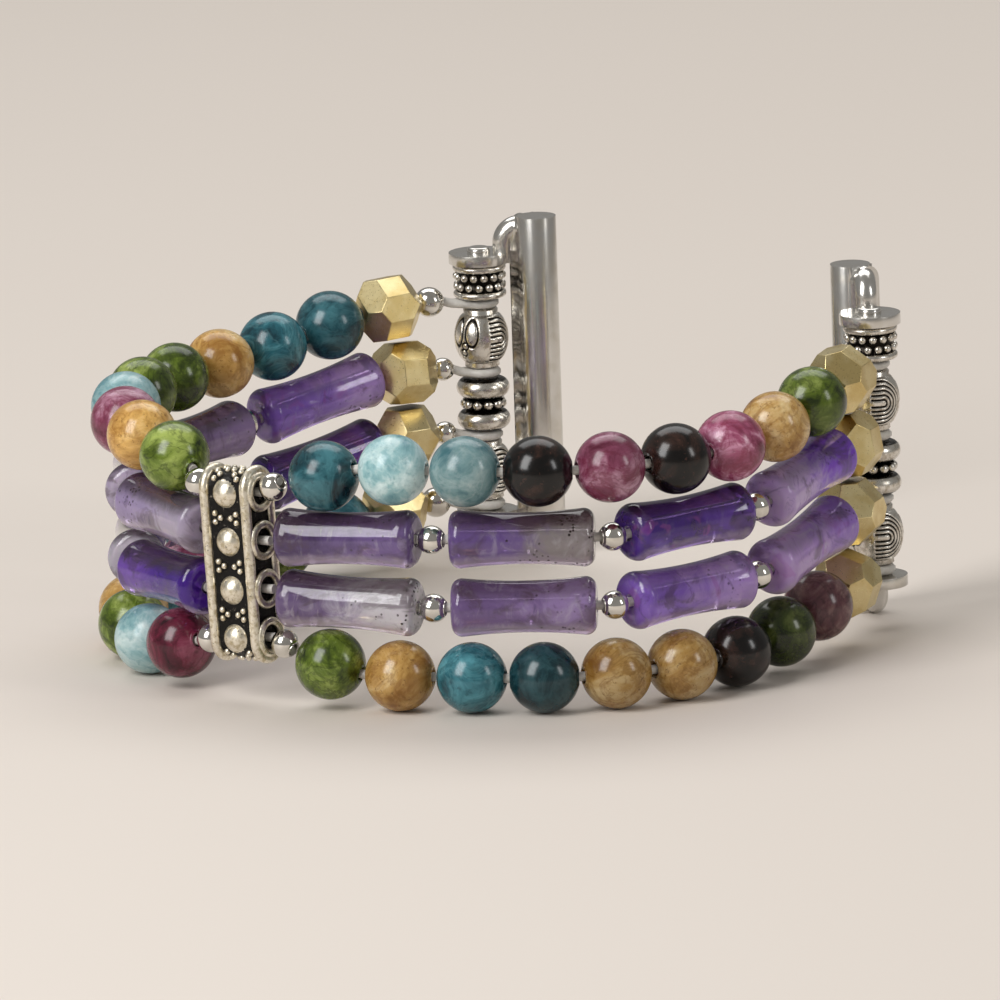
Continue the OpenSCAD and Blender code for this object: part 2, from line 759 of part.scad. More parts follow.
module right_adapter() { adapter(front); }
module right_rod() { rod(front); }
module right_drum() { on_rod(front, drum_z) drum(); }
module right_carved_upper() { on_rod(front, carved_up_z) carved_barrel(); }
module right_spool() { on_rod(front, spool_z) spool(); }
module right_carved_lower() { on_rod(front, carved_low_z) carved_barrel(); }

module left_adapter() { adapter(back); }
module left_rod() { rod(back); }
module left_drum() { on_rod(back, drum_z) drum(); }
module left_carved_upper() { on_rod(back, carved_up_z) carved_barrel(); }
module left_spool() { on_rod(back, spool_z) spool(); }
module left_carved_lower() { on_rod(back, carved_low_z) carved_barrel(); }

spacer_bar();
front_mouth_balls();
front_mouth_cords();
back_mouth_balls();
back_mouth_cords();
front_near_teal();
front_near_aqua();
front_near_green();
front_near_yellow();
front_near_bamboo();
front_near_cords();
front_mid_aqua();
front_mid_garnet();
front_mid_pink();
front_mid_teal();
front_mid_yellow();
front_mid_bamboo();
front_mid_balls();
front_mid_cords();
front_end_yellow();
front_end_green();
front_end_plum();
front_end_bamboo();
front_end_gold();
front_end_balls();
front_end_cords();
back_near_green();
back_near_yellow();
back_near_plum();
back_near_aqua();
back_near_bamboo();
back_near_cords();
back_mid_pink();
back_mid_aqua();
back_mid_green();
back_mid_yellow();
back_mid_teal();
back_mid_bamboo();
back_mid_balls();
back_mid_cords();
back_end_teal();
back_end_green();
back_end_bamboo();
back_end_gold();
back_end_balls();
back_end_cords();
right_adapter();
right_rod();
right_drum();
right_carved_upper();
right_spool();
right_carved_lower();
left_adapter();
left_rod();
left_drum();
left_carved_upper();
left_spool();
left_carved_lower();
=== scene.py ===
import json
import math

import bmesh
import bpy
import numpy as np
from mathutils import Matrix, Vector

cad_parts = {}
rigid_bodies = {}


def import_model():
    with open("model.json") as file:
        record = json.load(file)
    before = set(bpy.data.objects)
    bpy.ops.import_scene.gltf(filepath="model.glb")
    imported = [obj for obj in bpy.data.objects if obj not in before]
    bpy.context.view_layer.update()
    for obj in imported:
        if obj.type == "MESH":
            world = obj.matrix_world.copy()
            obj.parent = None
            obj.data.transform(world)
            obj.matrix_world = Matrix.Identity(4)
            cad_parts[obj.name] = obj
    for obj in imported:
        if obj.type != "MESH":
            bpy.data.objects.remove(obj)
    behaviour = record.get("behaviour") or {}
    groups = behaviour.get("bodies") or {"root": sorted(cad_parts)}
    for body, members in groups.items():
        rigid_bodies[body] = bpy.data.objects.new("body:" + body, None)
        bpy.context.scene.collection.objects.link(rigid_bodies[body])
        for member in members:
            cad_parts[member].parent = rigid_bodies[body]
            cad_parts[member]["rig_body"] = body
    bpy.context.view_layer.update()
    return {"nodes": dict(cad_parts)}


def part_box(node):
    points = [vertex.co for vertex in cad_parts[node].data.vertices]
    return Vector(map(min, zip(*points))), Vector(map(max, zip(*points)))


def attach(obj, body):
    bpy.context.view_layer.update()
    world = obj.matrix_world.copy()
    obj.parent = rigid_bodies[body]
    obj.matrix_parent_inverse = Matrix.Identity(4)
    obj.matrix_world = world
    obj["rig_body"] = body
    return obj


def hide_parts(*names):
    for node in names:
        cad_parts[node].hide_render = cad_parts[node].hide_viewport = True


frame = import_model()

MM = 0.001
UP = np.array([0.0, 0.0, 1.0])

# Camera: the photograph's viewing angle
CAMERA_AZIMUTH = 44.0
CAMERA_ELEVATION = 12.1
CAMERA_ROLL = -1.9
CAMERA_DISTANCE = 1.5
CAMERA_LENS = 639.9
AIM_HEIGHT = 13.0 * MM
AIM_RIGHT = 2.1 * MM
AIM_UP = -0.68 * MM

# Roundings that the plain solids leave out, in millimetres
BORE_ROUNDING = 0.16
BALL_ROUNDING = 0.1
PLATE_ROUNDING = 0.12
FACET_ROUNDING = 0.13
BAR_ROUNDING = 0.05
CORD_ROUNDING = 0.02

# Angles in degrees above which an edge of these pieces is a corner to be rounded
PLATE_CORNER = 40.0
FACET_CORNER = 20.0
BAR_CORNER = 35.0
CORD_CORNER = 70.0


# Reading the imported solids

# Decimals of a millimetre to which points have to agree to be one point
WELD_DIGITS = 3


def points_and_triangles(node):
    """Points in millimetres, welded where they meet, and the triangles between them."""
    mesh = frame["nodes"][node].data
    mesh.calc_loop_triangles()
    points = np.empty(len(mesh.vertices) * 3)
    mesh.vertices.foreach_get("co", points)
    triangles = np.empty(len(mesh.loop_triangles) * 3, dtype=np.int64)
    mesh.loop_triangles.foreach_get("vertices", triangles)
    places = np.round(points.reshape(-1, 3) / MM, WELD_DIGITS)
    welded, number = np.unique(places, axis=0, return_inverse=True)
    return welded, number.ravel()[triangles].reshape(-1, 3)


def solids(node):
    """Each separate solid of a node as an array of triangle corners, in millimetres."""
    points, triangles = points_and_triangles(node)
    label = np.arange(len(points))
    while True:
        lowest = label[triangles].min(axis=1)
        joined = label.copy()
        np.minimum.at(joined, triangles.ravel(), np.repeat(lowest, 3))
        joined = joined[joined]
        if (joined == label).all():
            break
        label = joined
    group = label[triangles[:, 0]]
    return [points[triangles[group == g]] for g in np.unique(group)]


def centre_and_axes(corners):
    """Centre of a solid and its axes, from the least spread to the greatest.

    Both are sums over the tetrahedra between a middle point and each triangle."""
    middle = corners.reshape(-1, 3).mean(axis=0)
    a, b, c = (corners[:, i] - middle for i in range(3))
    volume = np.einsum("ij,ij->i", a, np.cross(b, c)) / 6
    total = volume.sum()
    centre = (volume[:, None] * (a + b + c)).sum(axis=0) / 4 / total
    spread = np.zeros((3, 3))
    for corner in (a, b, c, a + b + c):
        spread += np.einsum("i,ij,ik->jk", volume, corner, corner) / 20
    _, axes = np.linalg.eigh(spread / total - np.outer(centre, centre))
    return middle + centre, axes.T


class Bead:
    """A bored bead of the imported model: its centre, its axis away from the bar, its size, and
    how far round the loop it is from the bar."""

    def __init__(self, corners, longest):
        self.centre, axes = centre_and_axes(corners)
        axis = axes[2] if longest else axes[0]
        half = 1 if self.centre[0] > 0 else -1
        onward = half * np.array([-self.centre[1], self.centre[0], 0])
        self.axis = axis if axis @ onward > 0 else -axis
        offset = corners.reshape(-1, 3) - self.centre
        along = offset @ self.axis
        self.half_length = np.abs(along).max()
        self.radius = np.linalg.norm(offset - along[:, None] * self.axis, axis=1).max()
        self.turn = abs(math.atan2(self.centre[0], -self.centre[1]))

    def put(self, points, roll=0.0):
        """Points made along +Z, set on this bead's axis. Their +X side turns upwards."""
        side = UP - self.axis * self.axis[2]
        side /= np.linalg.norm(side)
        basis = np.array([side, np.cross(self.axis, side), self.axis])
        c, s = math.cos(roll), math.sin(roll)
        return points @ np.array([[c, s, 0], [-s, c, 0], [0, 0, 1]]) @ basis + self.centre


def beads(node, longest=False):
    """The beads of a node in order from the bar, and from the lowest up where two are level."""
    found = [Bead(corners, longest) for corners in solids(node)]
    return sorted(found, key=lambda bead: (round(bead.turn, 1), bead.centre[2]))


# Making meshes


class Shape:
    """A mesh put together from parts, in millimetres, with a material number for each part.

    Its points carry a mark that materials read: a place along a tube, a stone's tone, or how
    deep a groove is."""

    def __init__(self):
        self.points, self.faces, self.kinds, self.marks = [], [], [], []
        self.count = 0

    def add(self, points, faces, kind=0, mark=0.0):
        self.points.append(points)
        self.faces += (np.asarray(faces) + self.count).tolist()
        self.kinds += [kind] * len(faces)
        self.marks.append(np.zeros(len(points)) + mark)
        self.count += len(points)

    def object(self, name, materials):
        mesh = bpy.data.meshes.new(name)
        mesh.from_pydata(np.concatenate(self.points) * MM, [], self.faces)
        for material in materials:
            mesh.materials.append(material)
        mesh.polygons.foreach_set("material_index", self.kinds)
        mesh.polygons.foreach_set("use_smooth", [True] * len(self.faces))
        mark = mesh.attributes.new("mark", "FLOAT", "POINT")
        mark.data.foreach_set("value", np.concatenate(self.marks))
        made = bpy.data.objects.new(name, mesh)
        bpy.context.scene.collection.objects.link(made)
        return made


def stand_in(made, node):
    """The piece stands for a CAD node: it rides on the node's body, and the node is hidden."""
    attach(made, frame["nodes"][node]["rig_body"])
    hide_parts(node)
    return made


def ride_with(made, node):
    """The piece is an extra one on the body of a CAD node."""
    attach(made, frame["nodes"][node]["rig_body"])
    return made


def lathe(outline, steps):
    """Closed surface turned about Z from a closed outline of (radius, height) points.

    The outline runs upwards on its outer side."""
    radius, height = np.array(outline, dtype=float).T
    angle = np.linspace(0, 2 * math.pi, steps, endpoint=False)[None, :]
    radius = radius[:, None] + 0 * angle
    height = height[:, None] + 0 * angle
    points = np.stack([radius * np.cos(angle), radius * np.sin(angle), height], axis=-1)
    i = np.arange(len(outline))[:, None]
    j = np.arange(steps)[None, :]
    ahead_i, ahead_j = (i + 1) % len(outline), (j + 1) % steps
    faces = np.stack(
        [i * steps + j, i * steps + ahead_j, ahead_i * steps + ahead_j, ahead_i * steps + j],
        axis=-1,
    )
    return points.reshape(-1, 3), faces.reshape(-1, 4)


def arc(centre, radius, start, end, steps):
    """Points of an arc in an outline, with its angles in degrees."""
    angles = np.radians(np.linspace(start, end, steps))
    return [(centre[0] + radius * math.cos(a), centre[1] + radius * math.sin(a)) for a in angles]


# Steps of the rounded rim of a bore, and degrees between the rim and the ball round it
RIM_STEPS = 4
RIM_GAP = 10


def ball_outline(radius, bore, steps, rounding):
    """Outline of a bored ball whose bore has rounded rims."""
    middle = bore / 2 + rounding
    edge = math.degrees(math.acos(middle / radius))
    rim = math.sqrt(radius**2 - middle**2) - rounding
    return (
        arc((middle, -rim), rounding, -180, -edge - RIM_GAP, RIM_STEPS)
        + arc((0, 0), radius, -edge, edge, steps)
        + arc((middle, rim), rounding, edge + RIM_GAP, 180, RIM_STEPS)
    )


# Small balls: hole on the axis as a share of the radius, and degrees up to which they are round
POLE_HOLE = 0.02
POLE = 80


def sphere(radius, steps):
    """Small solid ball as a turned outline that nearly closes on the axis."""
    hole = radius * POLE_HOLE
    side = arc((0, 0), radius, -POLE, POLE, steps // 2 + 2)
    return lathe([(hole, -radius)] + side + [(hole, radius)], steps)


# Distance in metres within which corners are welded
WELD_DISTANCE = 2e-6
# Angles in degrees: within the first, faces are joined, and within the second, they are level
JOIN_ANGLE = 1.0
LEVEL_ANGLE = 2.0
# By how much the angle of an edge that shades as sharp is over that of an edge that is rounded
SHARP_MARGIN = 6.0
BEVEL_STEPS = 2
# Marks of faces while edges are rounded
ROUND, EDGE, FACET = range(3)


def welded_copy(node, bevel, sharp):
    """Mesh of a CAD node, welded, with its flat faces joined and its sharp edges rounded.

    A face that only meets its neighbours at sharp edges, or lies level with them, stays flat."""
    made = bmesh.new()
    made.from_mesh(frame["nodes"][node].data)
    bmesh.ops.remove_doubles(made, verts=made.verts, dist=WELD_DISTANCE)
    bmesh.ops.dissolve_limit(
        made,
        angle_limit=math.radians(JOIN_ANGLE),
        verts=made.verts,
        edges=made.edges,
    )
    limit = math.radians(sharp)
    corners = [edge for edge in made.edges if edge.is_manifold and edge.calc_face_angle(0) > limit]
    for face in made.faces:
        angles = [math.degrees(edge.calc_face_angle(0)) for edge in face.edges]
        flat = all(angle > sharp or angle < LEVEL_ANGLE for angle in angles)
        face.material_index = FACET if flat else ROUND
    bmesh.ops.bevel(
        made,
        geom=corners,
        offset=bevel * MM,
        offset_type="OFFSET",
        segments=BEVEL_STEPS,
        profile=0.5,
        affect="EDGES",
        clamp_overlap=True,
        material=EDGE,
    )
    smooth = [face.material_index != FACET for face in made.faces]
    for face in made.faces:
        face.material_index = 0
    mesh = bpy.data.meshes.new(node + "_look")
    made.to_mesh(mesh)
    made.free()
    mesh.set_sharp_from_angle(angle=math.radians(sharp + SHARP_MARGIN))
    mesh.polygons.foreach_set("use_smooth", smooth)
    look = bpy.data.objects.new(node + "_look", mesh)
    bpy.context.scene.collection.objects.link(look)
    return look


# Materials


def linear(code):
    """Colour of a hex code such as 2f6473, as the shader wants it."""
    parts = [int(code[i : i + 2], 16) / 255 for i in (0, 2, 4)]
    return [p / 12.92 if p <= 0.04045 else ((p + 0.055) / 1.055) ** 2.4 for p in parts] + [1.0]


class Look:
    """A procedural material in millimetres of the piece's own space."""

    def __init__(self, name, **constants):
        self.material = bpy.data.materials.new(name)
        self.material.use_nodes = True
        self.tree = self.material.node_tree
        self.shader = self.tree.nodes["Principled BSDF"]
        for socket, value in constants.items():
            self.shader.inputs[socket.replace("_", " ")].default_value = value
        self.coordinates = self.tree.nodes.new("ShaderNodeTexCoord").outputs
        self.place = self.scaled(self.coordinates["Object"], (1 / MM,) * 3)

    def node(self, kind, inputs, **settings):
        made = self.tree.nodes.new(kind)
        for key, value in settings.items():
            setattr(made, key, value)
        for key, value in inputs.items():
            if isinstance(value, bpy.types.NodeSocket):
                self.tree.links.new(value, made.inputs[key])
            else:
                made.inputs[key].default_value = value
        return made

    def scaled(self, where, scale):
        return self.node("ShaderNodeMapping", {"Vector": where, "Scale": scale}).outputs[0]

    def shifted(self, *by):
        """The place moved, so that looks of a kind differ in their patterns."""
        return self.node("ShaderNodeVectorMath", {0: self.place, 1: by}).outputs[0]

    def noise(self, scale, detail=4.0, distortion=0.0, roughness=0.55, where=None):
        """Soft pattern with this many waves to the millimetre."""
        inputs = {"Vector": where or self.place, "Scale": scale, "Detail": detail}
        inputs |= {"Distortion": distortion, "Roughness": roughness}
        return self.node("ShaderNodeTexNoise", inputs).outputs["Fac"]

    def cells(self, scale, where):
        """Distance from scattered points, for round specks."""
        inputs = {"Scale": scale, "Vector": where}
        return self.node("ShaderNodeTexVoronoi", inputs).outputs["Distance"]

    def facing_up(self):
        """1 where the surface faces up and -1 where it faces down."""
        inputs = {"Vector": self.coordinates["Normal"]}
        return self.node("ShaderNodeSeparateXYZ", inputs).outputs["Z"]

    def mark(self):
        return self.node("ShaderNodeAttribute", {}, attribute_name="mark").outputs["Fac"]

    def math(self, operation, a, b=0.0, c=0.0):
        return self.node("ShaderNodeMath", {0: a, 1: b, 2: c}, operation=operation).outputs[0]

    def shade(self, colour, factor):
        """The colour made lighter or darker by a factor."""
        inputs = {"Color": colour, "Value": factor}
        return self.node("ShaderNodeHueSaturation", inputs).outputs["Color"]

    def step(self, value, low, high, start=0.0, end=1.0):
        """start before low, end past high, and smooth between them. high may be the lower one."""
        inputs = {"Value": value, 1: low, 2: high, 3: start, 4: end}
        return self.node("ShaderNodeMapRange", inputs, interpolation_type="SMOOTHSTEP").outputs[0]

    def mix(self, share, a, b):
        """Colour a where share is 0 and b where it is 1. Both are hex codes or sockets."""
        a, b = (linear(c) if isinstance(c, str) else c for c in (a, b))
        return self.node("ShaderNodeMix", {0: share, 6: a, 7: b}, data_type="RGBA").outputs[2]

    def lay(self, over, colour, value, low, high, share=1.0):
        """A colour laid over another where a value goes from low to high, up to a share."""
        return self.mix(self.step(value, low, high, 0.0, share), colour, over)

    def ramp(self, value, stops):
        """Colours at values, as {value: hex code}."""
        made = self.node("ShaderNodeValToRGB", {"Fac": value})
        points = made.color_ramp.elements
        for _ in range(len(stops) - 2):
            points.new(0.5)
        for point, (position, colour) in zip(points, sorted(stops.items())):
            point.position = position
            point.color = linear(colour)
        return made.outputs["Color"]

    def set(self, socket, value):
        self.tree.links.new(value, self.shader.inputs[socket])

    def scatter(self, weight, radius, scale):
        """Light that spreads below the surface, with its radius by colour and its scale."""
        self.shader.inputs["Subsurface Weight"].default_value = weight
        self.shader.inputs["Subsurface Radius"].default_value = radius
        self.shader.inputs["Subsurface Scale"].default_value = scale * MM

    def bump(self, height, strength, distance=0.1):
        inputs = {"Height": height, "Strength": strength, "Distance": distance * MM}
        self.set("Normal", self.node("ShaderNodeBump", inputs).outputs[0])

    def recess(self, distance):
        """1 on open surfaces and near 0 deep in recesses."""
        inputs = {"Distance": distance * MM}
        made = self.node("ShaderNodeAmbientOcclusion", inputs, samples=8, only_local=True)
        return made.outputs["AO"]


# Stone: its surface, and how far light of each colour spreads below it
STONE_ROUGHNESS = 0.19
STONE_IOR = 1.47
STONE_SPREAD = (1.0, 0.7, 0.5)
STONE_DEPTH = 1.2
# Values of its clouds at which they have their three colours
CLOUD_STOPS = (0.34, 0.5, 0.66)
MOTTLE_SHARE = 0.45
# A stone of tone 1 is this many times as light
TONE_BASE = 4.0


def stone(name, colours, cloud, veins=None, specks=None, glow=0.0, seed=0.0):
    """Polished stone: clouds in colours from dark to pale, then veins and specks.

    Veins and specks are given as (colour, share). A bead's mark makes it lighter above 0 and
    darker below."""
    look = Look(name, Roughness=STONE_ROUGHNESS, IOR=STONE_IOR)
    look.scatter(glow, STONE_SPREAD, STONE_DEPTH)
    where = look.shifted(seed, seed * 0.7, 0)
    clouds = look.noise(cloud, 6, 0.7, 0.6, where)
    colour = look.ramp(clouds, dict(zip(CLOUD_STOPS, colours)))
    mottle = look.noise(cloud * 6, 6, 0.4, 0.65, where)
    colour = look.lay(colours[0], colour, mottle, 0.5, 0.7, MOTTLE_SHARE)
    if veins:
        middle = look.math("SUBTRACT", look.noise(0.3, 4, 1.1, 0.6, where), 0.5)
        line = look.math("ABSOLUTE", middle)
        colour = look.lay(veins[0], colour, line, 0.05, 0.0, veins[1])
    if specks:
        dots = look.noise(2.6, 3, 0.3, 0.6, where)
        colour = look.lay(specks[0], colour, dots, 0.62, 0.68, specks[1])
    look.set("Base Color", look.shade(colour, look.math("POWER", TONE_BASE, look.mark())))
    look.bump(mottle, 0.02)
    return look.material


# Quartz: its surface, and how much and how far light of each colour spreads below it
QUARTZ_ROUGHNESS = 0.05
QUARTZ_IOR = 1.5
QUARTZ_GLOW = 0.3
QUARTZ_SPREAD = (1.0, 0.7, 1.1)
QUARTZ_DEPTH = 1.6
# Colours that every amethyst has in it, then the painted shade of its upper side and the painted
# light of its lower edge
HAZE = "ddd6e0"
SMOKE = "5a4650"
SHADOW = "4c3a60"
GLINT = "b060b8"
SPECK = "2e211e"
# Painted shade for the upper side and painted light for the lower edge
PAINTED_UPPER_SHADE = "38242e"
PAINTED_LOWER_LIGHT = "ecdcea"


def amethyst(name, start, end, haze=0.35, clear=0.5, seed=0.0, specks=0.7, rose=0.0, band=0.82):
    """Polished translucent quartz whose colour runs from its start to its end.

    Haze, specks, rose glints and the painted shade of its upper side (band) are given as shares.
    Its lower edge gets a painted light."""
    look = Look(name, Roughness=QUARTZ_ROUGHNESS, IOR=QUARTZ_IOR, Transmission_Weight=clear)
    look.scatter(QUARTZ_GLOW, QUARTZ_SPREAD, QUARTZ_DEPTH)
    where = look.shifted(seed, -seed, seed)
    clouds = look.noise(0.3, 5, 1.1, 0.6, where)
    along = look.math("MULTIPLY_ADD", look.mark(), 0.45, clouds)
    colour = look.lay(end, start, along, 0.3, 0.75)
    streaks = look.noise(0.5, 6, 1.6, 0.62, look.scaled(where, (1, 1, 0.6)))
    colour = look.lay(HAZE, colour, streaks, 0.5, 0.72, haze)
    smoke = look.noise(0.28, 4, 0.8, 0.6, look.scaled(where, (1, 1, 1.5)))
    colour = look.lay(SMOKE, colour, smoke, 0.5, 0.34, 0.6)
    colour = look.lay(SHADOW, colour, streaks, 0.45, 0.3, 0.5)
    if rose:
        glints = look.noise(0.5, 2, 0.6, 0.5, look.scaled(where, (1, 1, 0.8)))
        colour = look.lay(GLINT, colour, glints, 0.6, 0.68, rose)
    # Painted shade on the upper side and painted light along the lower edge, set by which way the
    # surface faces and made wavy by the streaks
    up = look.math("SUBTRACT", look.facing_up(), 0.25)
    painted_light_mask = look.math("MULTIPLY_ADD", streaks, 0.5, up)
    colour = look.lay(PAINTED_UPPER_SHADE, colour, painted_light_mask, 0.28, 0.76, band)
    colour = look.lay(PAINTED_LOWER_LIGHT, colour, painted_light_mask, -0.36, -0.76, 0.7)
    dots = look.step(look.cells(2.0, where), 0.3, 0.16, 0.0, specks)
    patches = look.noise(0.45, 3, 0.4, 0.6, where)
    speckled = look.step(look.math("MULTIPLY_ADD", look.mark(), 0.12, patches), 0.56, 0.66)
    look.set("Base Color", look.mix(look.math("MULTIPLY", dots, speckled), colour, SPECK))
    return look.material


# Colours of the metals and the cord
CAST_BRIGHT, CAST_STAIN, CAST_PIT, CAST_RECESS = "efe8d8", "c4b798", "3a342a", "2a2520"
OXIDE_GROUND, OXIDE_CRUMB = "0e0c0b", "8d857a"
CARVED_BRIGHT, CARVED_DULL, CARVED_GROOVE = "dedad2", "b3aa9c", "1b1815"
BALL_SILVER, PLATE_SILVER, SMUDGE = "e4e1da", "dad8d4", "d0ccc4"
# The last gold colour is painted shade for the corners between facets
GOLD_DEEP, GOLD_PALE, GOLD_CORNER_SHADE = "d2bb80", "e6d5a2", "4a3816"
CORD_GREY, CORD_WHITE = "cfcac2", "f2efe9"


def rubbed(name):
    """Raised parts of cast silver: rubbed bright, with warm stains and fine pits."""
    look = Look(name, Metallic=1.0)
    rough = look.noise(2.2, 5, 0.2, 0.65)
    tone = look.lay(CAST_STAIN, CAST_BRIGHT, rough, 0.42, 0.68)
    pits = look.noise(4.5, 3, 0.1, 0.5)
    tone = look.lay(CAST_PIT, tone, pits, 0.36, 0.3, 0.7)
    look.set("Base Color", look.lay(tone, CAST_RECESS, look.recess(0.5), 0.3, 0.75))
    look.set("Roughness", look.step(rough, 0.3, 0.7, 0.3, 0.44))
    look.bump(look.noise(2.6, 3), 0.3, 0.12)
    return look.material


def oxide(name):
    """Recesses of cast silver, blackened and dull, with a few bright crumbs."""
    look = Look(name, Metallic=0.6)
    crumbs = look.noise(3.4, 4, 0.4, 0.6)
    look.set("Base Color", look.lay(OXIDE_CRUMB, OXIDE_GROUND, crumbs, 0.62, 0.7, 0.6))
    look.set("Roughness", look.step(crumbs, 0.4, 0.7, 0.55, 0.35))
    look.bump(crumbs, 0.4, 0.12)
    return look.material


def carved(name):
    """Carved silver: bright where it is raised and dark where its mark shows a groove."""
    look = Look(name, Metallic=1.0)
    rough = look.noise(2.0, 4, 0.2, 0.6)
    tone = look.lay(CARVED_DULL, CARVED_BRIGHT, rough, 0.4, 0.7)
    look.set("Base Color", look.lay(CARVED_GROOVE, tone, look.mark(), 0.15, 0.75))
    look.set("Roughness", look.step(rough, 0.3, 0.7, 0.2, 0.34))
    look.bump(rough, 0.12, 0.1)
    return look.material


def bright(name, colour, roughness):
    """Polished silver plate with faint smudges."""
    look = Look(name, Metallic=1.0)
    smudge = look.noise(0.6, 3, 0.3)
    look.set("Base Color", look.lay(SMUDGE, colour, smudge, 0.35, 0.7))
    look.set("Roughness", look.step(smudge, 0.3, 0.7, roughness, roughness + 0.05))
    look.bump(look.noise(5.0, 3), 0.01)
    return look.material


def matt_gold(name):
    """Matt pale gold plate, with painted shade in the corners between facets."""
    look = Look(name, Metallic=1.0)
    grain = look.noise(7.0, 4)
    tone = look.lay(GOLD_PALE, GOLD_DEEP, look.noise(0.4, 3), 0.35, 0.65)
    # Painted shade in the corners between facets, where the surface is hidden
    look.set("Base Color", look.lay(tone, GOLD_CORNER_SHADE, look.recess(0.8), 0.3, 0.8))
    look.set("Roughness", look.step(grain, 0.3, 0.7, 0.27, 0.36))
    look.bump(grain, 0.06, 0.05)
    return look.material


def elastic(name):
    """Clear-white elastic cord."""
    look = Look(name, Roughness=0.35, Transmission_Weight=0.25, IOR=1.45)
    look.set("Base Color", look.mix(look.noise(3.0, 3), CORD_GREY, CORD_WHITE))
    return look.material


# Stones by the last word of their nodes' names, or by the whole name
STONES = {
    "teal": stone(
        "teal_look", ("061f28", "245863", "4d8791"), 0.3, ("6fa3a8", 0.15), glow=0.05
    ),
    "aqua": stone(
        "aqua_look", ("4c7d86", "8aaeb1", "c8d8d7"), 0.24, ("d6e6e4", 0.15), glow=0.2, seed=3
    ),
    "green": stone(
        "green_look", ("1f2c06", "5a6d20", "96a556"), 0.34, ("1a2607", 0.5), glow=0.05, seed=5
    ),
    "yellow": stone(
        "yellow_look",
        ("835a24", "b79152", "d5bc8a"),
        0.28,
        veins=("7a4e20", 0.4),
        specks=("573212", 0.5),
        glow=0.2,
        seed=9,
    ),
    "pink": stone(
        "pink_look", ("561c30", "85455e", "bd91a5"), 0.32, ("6a2438", 0.5), glow=0.1, seed=12
    ),
    "plum": stone(
        "plum_look", ("331920", "603c42", "93756f"), 0.32, ("2e141a", 0.4), glow=0.05, seed=17
    ),
    "back_near_plum": stone(
        "wine_look", ("260612", "641c32", "8c4a5e"), 0.32, ("2a0812", 0.4), glow=0.05, seed=19
    ),
    "garnet": stone(
        "garnet_look", ("030202", "0b0706", "33211b"), 0.36, specks=("4a3028", 0.5), seed=23
    ),
}

# How much lighter or darker each stone of a node is, from the bar outwards and from the lowest up
TONES = {
    "front_near_teal": (-0.2,),
    "front_near_aqua": (0.12,),
    "front_mid_aqua": (-0.3,),
    "front_mid_pink": (-0.1, 0.25),
    "front_mid_teal": (0.1, -0.9),
    "front_mid_yellow": (-0.25, -0.2),
    "front_end_green": (-0.9, -0.15),
    "front_end_plum": (-0.05,),
    "back_near_green": (0.1,),
    "back_near_yellow": (0.25,),
    "back_near_plum": (0.0,),
    "back_mid_pink": (0.0, 0.5),
    "back_mid_yellow": (0.0, 0.15),
    "back_end_teal": (0.12, 0.1, -0.25),
}

# A tube's band is the share of painted shade on its upper side
GREY = amethyst("amethyst_grey", "5e4878", "826aa2", clear=0.45, seed=1)
CLEARING = amethyst("amethyst_clearing", "7d62a4", "9d9494", seed=4, specks=1.0)
SMOKY = amethyst("amethyst_smoky", "80669a", "a68cbe", clear=0.45, seed=7, band=0.6)
PALE_END = amethyst("amethyst_pale_end", "7a6490", "e4e0e6", 0.5, 0.45, seed=10, specks=1.0)
VIOLET = amethyst("amethyst_violet", "5c36a4", "8055c8", 0.15, 0.6, 13, specks=0.6, rose=0.6)
VIOLET_SOFT = amethyst(
    "amethyst_violet_soft", "9a72d8", "ccaaf0", 0.3, 0.55, 15, specks=0.6, rose=0.4, band=0.5
)
GREY_TO_VIVID = amethyst(
    "amethyst_grey_to_vivid", "d6bcee", "9054e4", 0.4, 0.45, 41, specks=0.5, band=0.35
)
PATCHED = amethyst(
    "amethyst_patched", "d0b0ea", "b088e4", 0.45, 0.45, 47, specks=0.6, rose=0.3, band=0.4
)
LILAC = amethyst("amethyst_lilac", "c8bcd4", "b8a6d0", 0.45, seed=26)
BLUE_VIOLET = amethyst("amethyst_blue_violet", "5626a6", "9064d0", 0.2, 0.6, seed=29)
MILKY = amethyst("amethyst_milky", "d0cad6", "bcaccc", 0.6, seed=33)

# Tubes in pairs from the bar outwards, each pair as (lower, upper)
TUBES = {
    "front_near_bamboo": [(PALE_END, GREY)],
    "front_mid_bamboo": [(SMOKY, CLEARING), (VIOLET_SOFT, VIOLET)],
    "front_end_bamboo": [(PATCHED, GREY_TO_VIVID)],
    "back_near_bamboo": [(BLUE_VIOLET, LILAC)],
    "back_mid_bamboo": [(MILKY, LILAC), (VIOLET, SMOKY)],
    "back_end_bamboo": [(VIOLET, VIOLET_SOFT)],
}

RUBBED = rubbed("rubbed_silver_look")
OXIDE = oxide("black_silver_look")
CARVED = carved("carved_silver_look")
BRIGHT = bright("bright_silver_look", BALL_SILVER, 0.1)
PLATE = bright("adapter_silver_look", PLATE_SILVER, 0.2)
GOLD = matt_gold("gold_look")
ELASTIC = elastic("elastic_look")


# Beads on the strands

BEAD_BORE = 1.1
STONE_EASE = 0.03
BALL_BORE = 1.0
TUBE_RIM = 0.9
TUBE_WAIST = 0.88

# Steps round a bead and round a ball, and along the outlines of stones, balls and tubes
BEAD_STEPS = 56
BALL_STEPS = 36
STONE_OUTLINE_STEPS = 30
BALL_OUTLINE_STEPS = 20
TUBE_OUTLINE_STEPS = 27
TUBE_RIM_STEPS = 9


def make_stones(node, material):
    shape = Shape()
    found = beads(node)
    tones = TONES.get(node, (0.0,) * len(found))
    for bead, tone in zip(found, tones, strict=True):
        radius = bead.radius - STONE_EASE
        outline = ball_outline(radius, BEAD_BORE, STONE_OUTLINE_STEPS, BORE_ROUNDING)
        points, faces = lathe(outline, BEAD_STEPS)
        shape.add(bead.put(points), faces, mark=tone)
    stand_in(shape.object(node + "_look", [material]), node)


